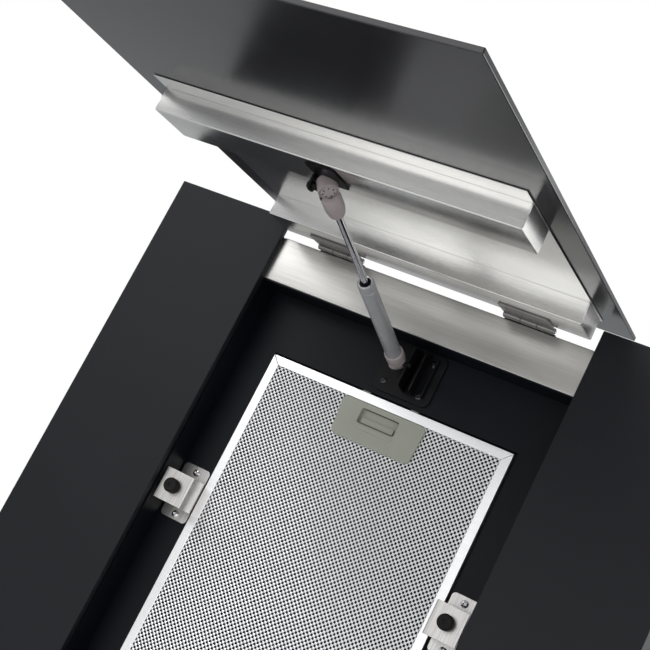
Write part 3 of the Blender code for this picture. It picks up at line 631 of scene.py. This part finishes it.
def make_highlight_rim(mouth):
    # A bright steel ring in the tube's mouth: its bright colour is a painted highlight on the grey
    # tube's rim.
    rim = [(mouth - 0.9, TUBE_R - 0.9), (mouth + 0.15, TUBE_R - 1.0), (mouth + 0.4, TUBE_R - 1.7),
           (mouth + 0.1, TUBE_R - 2.3), (mouth - 0.9, TUBE_R - 2.2)]
    bm = bmesh.new()
    add_ring_turned(bm, rim, Vector(), UP, 40)
    add_piece("strut_cylinder_highlight_rim", bm, "bright_steel", "strut_cylinder",
              space=STRUT)


def make_lower_socket():
    """A drum on the lower ball and a cup that the tube's foot stands in."""
    cup = [(3.0, 2.0), (3.0, 7.6), (5.0, 8.7), (13.5, 9.0), (15.6, 8.8), (16.4, 8.1), (16.4, 7.5),
           (14.0, 7.3), (14.0, 2.0)]
    bm = bmesh.new()
    add_drum(bm, 0.0, -1.0, 0.0)
    add_ring_turned(bm, cup, Vector(), UP, 36)
    add_piece("strut_lower_socket", bm, "socket", "strut_cylinder",
              ["strut_socket_lower"], STRUT)


def make_upper_socket(foot, top):
    """A drum at the upper ball, and a neck that narrows towards the rod."""
    eye = top - SOCKET_R
    neck = [(foot, 3.1), (foot, 5.2), (foot + 0.8, 6.2), (foot + 3.0, 7.0), (foot + 9.0, 8.0),
            (eye - 9.5, 8.2), (eye - 6.8, 7.2), (eye - 6.0, 5.6), (eye - 6.0, 3.1)]
    bm = bmesh.new()
    add_drum(bm, eye, 1.0, DRUM_BACK)
    add_ring_turned(bm, neck, Vector(), UP, 36)
    add_piece("strut_upper_socket", bm, "socket", "strut_piston_rod",
              ["strut_socket_upper"], STRUT)
    make_socket_details(eye)


def drum_axis(way):
    """The drum turns a little round the strut, as a ball joint lets it."""
    return Matrix.Rotation(DRUM_TURN, 3, "Z") @ Vector((way, 0, 0))


def add_drum(bm, height, way, set_back):
    """A ball socket's drum: a domed cap with a groove on one side, a plain face on the other."""
    half, radius = DRUM_HALF, SOCKET_R
    profile = [(-half, 0.0), (-half, 5.6), (-half + 1.2, radius - 0.6), (-half + 2.4, radius),
               (half - 1.0, radius), (half - 0.3, radius - 0.2), (half, radius - 0.6),
               (half, radius - 1.1), (half - 1.1, radius - 1.2), (half - 1.1, radius - 1.8),
               (half, radius - 1.9), (half + 0.3, radius - 2.3), (half + 0.45, 2.4),
               (half + 0.5, 0.0)]
    axis = drum_axis(way)
    add_turned(bm, profile, UP * (height * MM) - axis * (set_back * MM), axis, 36)


def make_socket_details(eye):
    """Black plugs at the small blind holes round the upper drum's cap and at the slot of its spring
    clip; their black is painted shade in these openings.
    """
    axis = drum_axis(1.0)
    side = axis.cross(UP).normalized()
    ball = UP * (eye * MM)
    cap = ball + axis * ((DRUM_HALF - DRUM_BACK + 0.2) * MM)
    hole = [(0.0, 0.62), (0.42, 0.62), (0.48, 0.4), (0.48, 0.0)]
    bm = bmesh.new()
    for number in range(CAP_HOLES):
        angle = math.tau * number / CAP_HOLES
        way = side * math.cos(angle) + UP * math.sin(angle)
        add_turned(bm, hole, cap + way * (CAP_HOLE_CIRCLE * MM), axis, 10)
    place = Matrix.Translation(ball + side * (SLOT_OUT * MM) - UP * (SLOT_DOWN * MM))
    turn = Matrix((side, axis, UP)).transposed().to_4x4()
    size = Matrix.Diagonal((*[length * MM for length in SLOT_SIZE], 1.0))
    bmesh.ops.create_cube(bm, size=1.0, matrix=place @ turn @ size)
    add_piece("strut_upper_socket_shade_marks", bm, "bracket", "strut_piston_rod",
              space=STRUT)


# ---------------------------------------------------------------- filter

FILTER_RIM = 9.0
MITRE_GAP = 0.12
CORE_IN = 4.6
SHEET_IN = 0.9
MESH_PITCH = 4.7
HOLE_REACH = 0.4836  # a hole's reach from its cell's middle, as a share of the cell's own
STRAND_DIP = 0.35  # the left and right tips of a cell lie this much deeper
STRAND_THICK = 1.4
HOLE_EDGE = (0.35, 1.2)  # how deep a hole's edge starts and ends
UNDER_HANDLE_X = (-38.0, 42.0)
UNDER_HANDLE_DOWN = 149.0
HANDLE_TOP = (-43.0, 46.0)
HANDLE_FOOT = (-39.5, 44.5)
HANDLE_ROUND = 5.0
FINGER_X = (-20.0, 20.0)
FINGER_DOWN = (120.5, 135.5)
FINGER_ROUND = 2.6
WELL_WALL = 1.0
WELL_DEEP = 3.4
LIP_DOWN = (0.9, 5.6)


def make_filter():
    low, high = local_box("filter_frame", HOOD)
    front, back = low[2], high[2]
    inner_x = (low[0] + FILTER_RIM, high[0] - FILTER_RIM)
    inner_down = (low[1] + FILTER_RIM, high[1] - FILTER_RIM)
    outside = rectangle((low[0], high[0]), (low[1], high[1]))
    inside = rectangle(inner_x, inner_down)
    bm = bmesh.new()
    for number in range(4):
        add_filter_rail(bm, outside, inside, number, (front, back))
    add_piece("filter_mitred_frame", bm, "filter_rim", "filter", ["filter_frame"],
              bevel=0.45, segments=3)

    low, high = local_box("filter_mesh", HOOD)
    outline = rounded(rectangle((low[0], high[0]), (low[1], high[1])), 1.0, 2)
    # A near-black slab behind the sheet: its colour is painted shade in the depth of the filter.
    bm = bmesh.new()
    add_slab(bm, outline, (low[2] + CORE_IN, high[2]))
    add_piece("filter_painted_shade_layers", bm, "filter_painted_shade_core", "filter", ["filter_mesh"])
    bm = bmesh.new()
    add_expanded_sheet(bm, inner_x, inner_down, front + SHEET_IN)
    add_piece("filter_expanded_sheet", bm, "filter_mesh", "filter")
    make_handle()


def add_filter_rail(bm, outside, inside, number, back):
    """One rail of the frame, cut at 45 degrees where it meets its neighbours."""
    after = (number + 1) % 4
    gap = (Vector(outside[after]) - Vector(outside[number])).normalized() * MITRE_GAP
    corners = [Vector(outside[number]) + gap, Vector(outside[after]) - gap,
               Vector(inside[after]) - gap, Vector(inside[number]) + gap]
    add_slab(bm, corners, back)


def add_expanded_sheet(bm, x, down, front):
    """Diamond cells with an open middle; their shared strands stand proud of the holes."""
    columns = int((x[1] - x[0]) / MESH_PITCH)
    rows = int((down[1] - down[0]) / MESH_PITCH * 2)
    step_x = (x[1] - x[0]) / columns
    step_down = (down[1] - down[0]) / rows
    shared = {}

    def vertex(key, spot):
        if key not in shared:
            shared[key] = bm.verts.new(at(*spot))
        return shared[key]

    for row in range(rows + 1):
        for column in range(columns + 1):
            offset = 0.5 if row % 2 else 0.0
            centre_x = x[0] + (column + offset) * step_x
            centre_down = down[0] + row * step_down
            if centre_x > x[1] + 0.1 * step_x or under_handle(centre_x, centre_down):
                continue
            add_cell(bm, vertex, (2 * column + (row % 2), row), (centre_x, centre_down),
                     (step_x / 2, step_down), front)


def under_handle(x, down):
    return UNDER_HANDLE_X[0] < x < UNDER_HANDLE_X[1] and down < UNDER_HANDLE_DOWN


def add_cell(bm, vertex, key, centre, reach, front):
    """One diamond: four strands from its tips to the edge of its hole, closed underneath."""
    ways = ((1, 0), (0, 1), (-1, 0), (0, -1))
    tops, holes, undersides, feet = [], [], [], []
    for way in ways:
        corner_key = (key[0] + way[0], key[1] + way[1])
        tip = (centre[0] + way[0] * reach[0], centre[1] + way[1] * reach[1])
        level = front - STRAND_DIP if way[0] else front
        tops.append(vertex(("top", corner_key), (*tip, level)))
        undersides.append(vertex(("low", corner_key), (*tip, level + STRAND_THICK)))
    for way, other in zip(ways, ways[1:] + ways[:1]):
        spot = (centre[0] + (way[0] + other[0]) * HOLE_REACH * reach[0],
                centre[1] + (way[1] + other[1]) * HOLE_REACH * reach[1])
        holes.append(bm.verts.new(at(*spot, front + HOLE_EDGE[0])))
        feet.append(bm.verts.new(at(*spot, front + HOLE_EDGE[1])))
    for index in range(4):
        before, after = index - 1, (index + 1) % 4
        bm.faces.new((tops[index], holes[index], holes[before]))
        bm.faces.new((tops[index], tops[after], holes[index]))
        bm.faces.new((undersides[index], feet[before], feet[index]))
        bm.faces.new((undersides[index], feet[index], undersides[after]))
        bm.faces.new((holes[before], holes[index], feet[index], feet[before]))


def make_handle():
    """The grip plate, tapered downwards, with a walled finger slot and a lip under it."""
    (_, top, front), (_, foot, back) = local_box("filter_handle", HOOD)
    outline = [(HANDLE_TOP[0], top), (HANDLE_TOP[1], top), (HANDLE_FOOT[1], foot),
               (HANDLE_FOOT[0], foot)]
    slot = rounded(rectangle(FINGER_X, FINGER_DOWN), FINGER_ROUND, 6)
    wall_x = (FINGER_X[0] - WELL_WALL, FINGER_X[1] + WELL_WALL)
    wall_down = (FINGER_DOWN[0] - WELL_WALL, FINGER_DOWN[1] + WELL_WALL)
    lip_x = (FINGER_X[0] + 0.4, FINGER_X[1] - 0.4)
    lip_down = [FINGER_DOWN[1] + reach for reach in LIP_DOWN]
    bm = bmesh.new()
    add_ring_slab(bm, rounded(outline, HANDLE_ROUND, 6), slot, (front, back))
    add_ring_slab(bm, rounded(rectangle(wall_x, wall_down), 3.2, 6), slot, (back, back + WELL_DEEP))
    add_slab(bm, rounded(rectangle(lip_x, lip_down), 2.2, 6), (front - 0.35, front + 0.3))
    add_piece("filter_grip_plate", bm, "handle", "filter", ["filter_handle"],
              bevel=0.3)


# ---------------------------------------------------------------- catches and brackets

FORWARD = Vector((0, -1, 0))
INWARD = Vector((0, 1, 0))
CATCH_SHEET = 1.2
CATCH_BEND = 1.6
CROWN_X = (130.5, 161.5)
CROWN_DOWN = (249.0, 280.0)
TAB_X = (132.0, 162.0)
TAB_ROUND = 4.0
TAB_SCREW_X = 146.0
TAB_SCREWS_IN = (6.2, 5.4)


def make_catch(side, word):
    """A bent bracket with a tab at each end, two screws and a rubber stop on its crown."""
    node = f"catch_{word}_bracket"
    (_, top, crown), (_, foot, seat) = local_box(node, HOOD)
    floor = seat - CATCH_SHEET
    outline = catch_profile(floor, crown, side)
    bm = bmesh.new()
    ends = [[at(x, down, back) for back, x in outline] for down in CROWN_DOWN]
    add_prism(bm, *ends)
    tab = rounded(rectangle(sorted(x * side for x in TAB_X), (top, foot)), TAB_ROUND, 6)
    add_slab(bm, tab, (floor, seat))
    add_piece(f"catch_{word}_bent_bracket", bm, "catch_steel", "hood", [node], bevel=0.25)
    for number, down in enumerate((top + TAB_SCREWS_IN[0], foot - TAB_SCREWS_IN[1])):
        bm = bmesh.new()
        add_screw(bm, at(side * TAB_SCREW_X, down, floor), FORWARD, 3.6, 1.6)
        add_piece(f"catch_{word}_screw_{number}", bm, "bright_steel", "hood")
    make_rubber_stop(word)


def catch_profile(floor, crown, side):
    """The bracket's bent edge as (back, x) points: flank, rounded bend, crown."""
    flank_x, far_x = (x * side for x in CROWN_X)
    bends = []
    for radius in (CATCH_BEND, CATCH_BEND - CATCH_SHEET):
        bend = []
        for step in range(6):
            angle = math.pi / 2 * step / 5
            bend.append((crown + CATCH_BEND - radius * math.sin(angle),
                         flank_x + side * (CATCH_BEND - radius * math.cos(angle))))
        bends.append(bend)
    outer, inner = bends
    crown_end = [(crown, far_x), (crown + CATCH_SHEET, far_x)]
    flank_end = [(floor, flank_x + CATCH_SHEET * side)]
    return [(floor, flank_x)] + outer + crown_end + list(reversed(inner)) + flank_end


def make_rubber_stop(word):
    """A round buffer with a domed rim and a sunk middle."""
    node = f"catch_{word}_buffer"
    low, high = local_box(node, HOOD)
    radius = (high[0] - low[0]) / 2
    reach = high[2] - low[2]
    profile = [(0.0, radius), (reach - 1.6, radius), (reach - 0.8, radius - 0.25),
               (reach - 0.2, radius - 0.9), (reach, radius - 1.6), (reach - 0.15, radius - 2.4),
               (reach - 0.15, 2.0), (reach - 0.9, 1.6), (reach - 0.9, 0.0)]
    bm = bmesh.new()
    seat = at((low[0] + high[0]) / 2, (low[1] + high[1]) / 2, high[2])
    add_turned(bm, profile, seat, FORWARD, 40)
    add_piece(f"catch_{word}_rubber_stop", bm, "rubber", "hood", [node])


LOWER_BASE = 2.0
LOWER_BASE_ROUND = 7.0
LUG_THICK = 2.0
LUG_FOOT_DOWN = 93.0
LUG_CROWN_DOWN = 91.0
LUGS = ((7.0, 8.0), (17.0, 14.0))
LOW_RIB_X = (26.5, 28.0)
LOW_RIB_DOWN = (52.0, 92.0)
LOW_RIB_BACK = (6.0, 1.5)
LOWER_SCREWS = ((-15.0, 57.0), (-15.0, 89.0), (24.0, 58.0), (24.0, 91.0))


def make_lower_bracket():
    """A base plate with two upright lugs, as (x, front edge) in LUGS, and a low rib."""
    low, high = local_box("strut_bracket_lower", HOOD)
    top, seat = low[1], high[2]
    face = seat - LOWER_BASE
    base = rounded(rectangle((low[0], high[0]), (top, high[1])), LOWER_BASE_ROUND, 7)
    bm = bmesh.new()
    add_slab(bm, base, (face, seat))
    for x, front in LUGS:
        outline = [(top + 1.5, face + 0.4), (LUG_FOOT_DOWN, face + 0.4), (LUG_CROWN_DOWN, front),
                   (top + 6.0, front)]
        add_extrusion(bm, rounded(outline, 2.0), x, x + LUG_THICK)
    rib = rectangle(LOW_RIB_DOWN, [seat - depth for depth in LOW_RIB_BACK])
    add_extrusion(bm, rib, *LOW_RIB_X)
    add_piece("strut_lower_ribbed_bracket", bm, "bracket", "hood",
              ["strut_bracket_lower"], bevel=0.3)
    for number, spot in enumerate(LOWER_SCREWS):
        bm = bmesh.new()
        add_screw(bm, at(*spot, face), FORWARD, 3.4, 1.5)
        add_piece(f"strut_lower_bracket_screw_{number}", bm, "bracket_screw", "hood")


UPPER_BASE = 1.2
UPPER_LUG_ALONG = 245.0
UPPER_LUG_HALF = 5.0
UPPER_LUG_THICK = 2.0
UPPER_SCREWS = ((-12.0, 236.5), (-2.0, 265.0))


def make_upper_bracket():
    """A small base plate with one lug for the strut's upper stud."""
    low, high = local_box("strut_bracket_upper", LID)
    base, tip, middle, half = low[2], high[2], UPPER_LUG_ALONG, UPPER_LUG_HALF
    plate = rounded(rectangle((low[0], high[0]), (low[1], high[1])), 3.0, 5)
    lug = [(middle - half, base + 0.6), (middle - half + 0.4, tip), (middle + half - 0.4, tip),
           (middle + half, base + 0.6)]
    bm = bmesh.new()
    add_slab(bm, plate, (base, base + UPPER_BASE))
    add_extrusion(bm, rounded(lug, 2.5), low[0], low[0] + UPPER_LUG_THICK)
    add_piece("strut_upper_angle_bracket", bm, "bracket", "lid",
              ["strut_bracket_upper"], LID, bevel=0.25)
    for number, spot in enumerate(UPPER_SCREWS):
        bm = bmesh.new()
        add_screw(bm, at(*spot, base + UPPER_BASE), INWARD, 2.6, 1.1)
        add_piece(f"strut_upper_bracket_screw_{number}", bm, "bracket_screw", "lid", space=LID)


# ---------------------------------------------------------------- hinges

HINGES = ((-124.5, "left"), (75.0, "right"))
HINGE_LONG = 50.0
KNUCKLE_LONG = HINGE_LONG / 3
KNUCKLE_GAP = 0.3
KNUCKLE_R = 3.0
PIN_HOLE_R = 1.75
HINGE_AXIS = (-3.0, -3.0)
LEAF_ALONG = (2.4, 29.0)
LEAF_IN = (-2.0, -0.6)
LEAF_CORNER = 2.0
LEAF_SIDE = 0.2
LEAF_SCREWS = ((7.0, 20.0), (25.0, 15.0), (43.0, 20.0))


def make_hinge(start, word):
    """Two rolled leaves round the CAD pin; the moving leaf's screws lie on the lid's channel."""
    end = start + HINGE_LONG
    middle = (start + KNUCKLE_LONG, start + 2 * KNUCKLE_LONG)
    bm = bmesh.new()
    add_hinge_leaf(bm, (start + LEAF_SIDE, end - LEAF_SIDE))
    for span in ((start, middle[0]), (middle[1], end)):
        add_knuckle(bm, span, Vector())
    add_piece(f"hinge_{word}_moving_leaf", bm, "hinge_zinc_painted_shade", "lid",
              [f"hinge_{word}_lid_leaf"], LID, bevel=0.2)
    for number, (x, along) in enumerate(LEAF_SCREWS):
        bm = bmesh.new()
        add_screw(bm, at(start + x, along, LEAF_IN[1]), INWARD, 2.4, 0.45)
        add_piece(f"hinge_{word}_screw_{number}", bm, "hinge_zinc_painted_shade", "lid", space=LID)

    bm = bmesh.new()
    add_knuckle(bm, (middle[0] + KNUCKLE_GAP, middle[1] - KNUCKLE_GAP), at(0.0, *HINGE_AXIS))
    neck = (middle[0] + 2 * KNUCKLE_GAP, middle[1] - 2 * KNUCKLE_GAP)
    add_box(bm, neck, (-1.8, -0.5), (-2.2, 2.4))
    add_box(bm, (start, end), (-1.8, -0.3), (2.2, 24.0))
    add_piece(f"hinge_{word}_fixed_leaf", bm, "hinge_zinc_painted_shade", "hood",
              [f"hinge_{word}_case_leaf"], bevel=0.2)


def add_hinge_leaf(bm, x):
    """A flat leaf whose two outer corners are cut off."""
    near, far = LEAF_ALONG
    outline = [(x[0], near), (x[1], near), (x[1], far - LEAF_CORNER), (x[1] - LEAF_CORNER, far),
               (x[0] + LEAF_CORNER, far), (x[0], far - LEAF_CORNER)]
    add_slab(bm, outline, LEAF_IN)


def add_knuckle(bm, x, axis_at):
    """A rolled barrel round the pin's hole, from x[0] to x[1]."""
    length = x[1] - x[0]
    profile = [(0.0, PIN_HOLE_R), (0.0, 2.6), (0.4, KNUCKLE_R), (length - 0.4, KNUCKLE_R),
               (length, 2.6), (length, PIN_HOLE_R)]
    add_ring_turned(bm, profile, axis_at + Vector((x[0] * MM, 0, 0)), Vector((1, 0, 0)), 24)


# ---------------------------------------------------------------- camera, light, floor

CAMERA_PLACE_M = (0.4472, -1.2293, -0.0421)
CAMERA_TURN_DEG = (102.489, -26.816, 21.530)
CAMERA_LENS = 69.17
FLOOR_BELOW_M = 0.35


def make_camera():
    data = bpy.data.cameras.new("camera")
    data.lens = CAMERA_LENS
    data.sensor_width = 36.0
    camera = bpy.data.objects.new("camera", data)
    camera.location = CAMERA_PLACE_M
    camera.rotation_euler = [math.radians(angle) for angle in CAMERA_TURN_DEG]
    bpy.context.scene.collection.objects.link(camera)
    bpy.context.scene.camera = camera


def make_light(name, place, aim, size, power):
    """A white soft box, in metres and watts, that lights the object and isn't seen itself."""
    data = bpy.data.lights.new(name, "AREA")
    data.shape = "RECTANGLE"
    data.size, data.size_y = size
    data.energy = power
    lamp = bpy.data.objects.new(name, data)
    lamp.location = place
    way = Vector(aim) - Vector(place)
    lamp.rotation_euler = way.to_track_quat("-Z", "Y").to_euler()
    lamp.visible_camera = False
    bpy.context.scene.collection.objects.link(lamp)


def make_background(tree, colour, strength):
    made = tree.nodes.new("ShaderNodeBackground")
    made.inputs["Color"].default_value = colour
    made.inputs["Strength"].default_value = strength
    return made.outputs["Background"]


def make_world():
    """White to the camera, and a soft grey studio to everything it lights."""
    world = bpy.data.worlds.new("studio")
    world.use_nodes = True
    tree = world.node_tree
    tree.nodes.clear()
    out = tree.nodes.new("ShaderNodeOutputWorld")
    mix = tree.nodes.new("ShaderNodeMixShader")
    path = tree.nodes.new("ShaderNodeLightPath")
    tree.links.new(path.outputs["Is Camera Ray"], mix.inputs["Fac"])
    tree.links.new(make_background(tree, (0.96, 0.98, 1.0, 1.0), 0.50), mix.inputs[1])
    tree.links.new(make_background(tree, (1.0, 1.0, 1.0, 1.0), 1.0), mix.inputs[2])
    tree.links.new(mix.outputs["Shader"], out.inputs["Surface"])
    bpy.context.scene.world = world


def make_floor():
    low, _ = CAD_BOX
    bm = bmesh.new()
    bmesh.ops.create_grid(bm, x_segments=1, y_segments=1, size=4.0)
    mesh = bpy.data.meshes.new("floor")
    bm.to_mesh(mesh)
    bm.free()
    floor = bpy.data.objects.new("floor", mesh)
    floor.location = (0.0, -0.5, low[2] - FLOOR_BELOW_M)
    pale = bpy.data.materials.new("pale_floor")
    pale.use_nodes = True
    shader = pale.node_tree.nodes["Principled BSDF"]
    shader.inputs["Base Color"].default_value = (0.8, 0.8, 0.8, 1)
    shader.inputs["Roughness"].default_value = 0.8
    mesh.materials.append(pale)
    bpy.context.scene.collection.objects.link(floor)


make_camera()
make_world()
make_floor()
make_light("key", (-1.3, -2.4, 1.5), (0.0, -0.2, 0.0), (2.2, 2.2), 36.0)
make_light("fill", (1.9, -2.0, -0.2), (0.0, -0.3, 0.1), (1.6, 1.6), 16.0)
make_light("under", (-0.1, -2.1, -0.5), (0.0, -0.2, 0.0), (1.8, 0.9), 7.0)
make_light("rim", (1.3, 0.9, 0.5), (0.15, -0.3, 0.1), (1.0, 1.0), 9.0)
dress_carried_nodes()
make_strip()
make_lid_steel()
for hinge in HINGES:
    make_hinge(*hinge)
make_strut()
make_lower_bracket()
make_upper_bracket()
for catch in ((-1, "left"), (1, "right")):
    make_catch(*catch)
make_filter()
bpy.context.scene.view_settings.view_transform = "Standard"
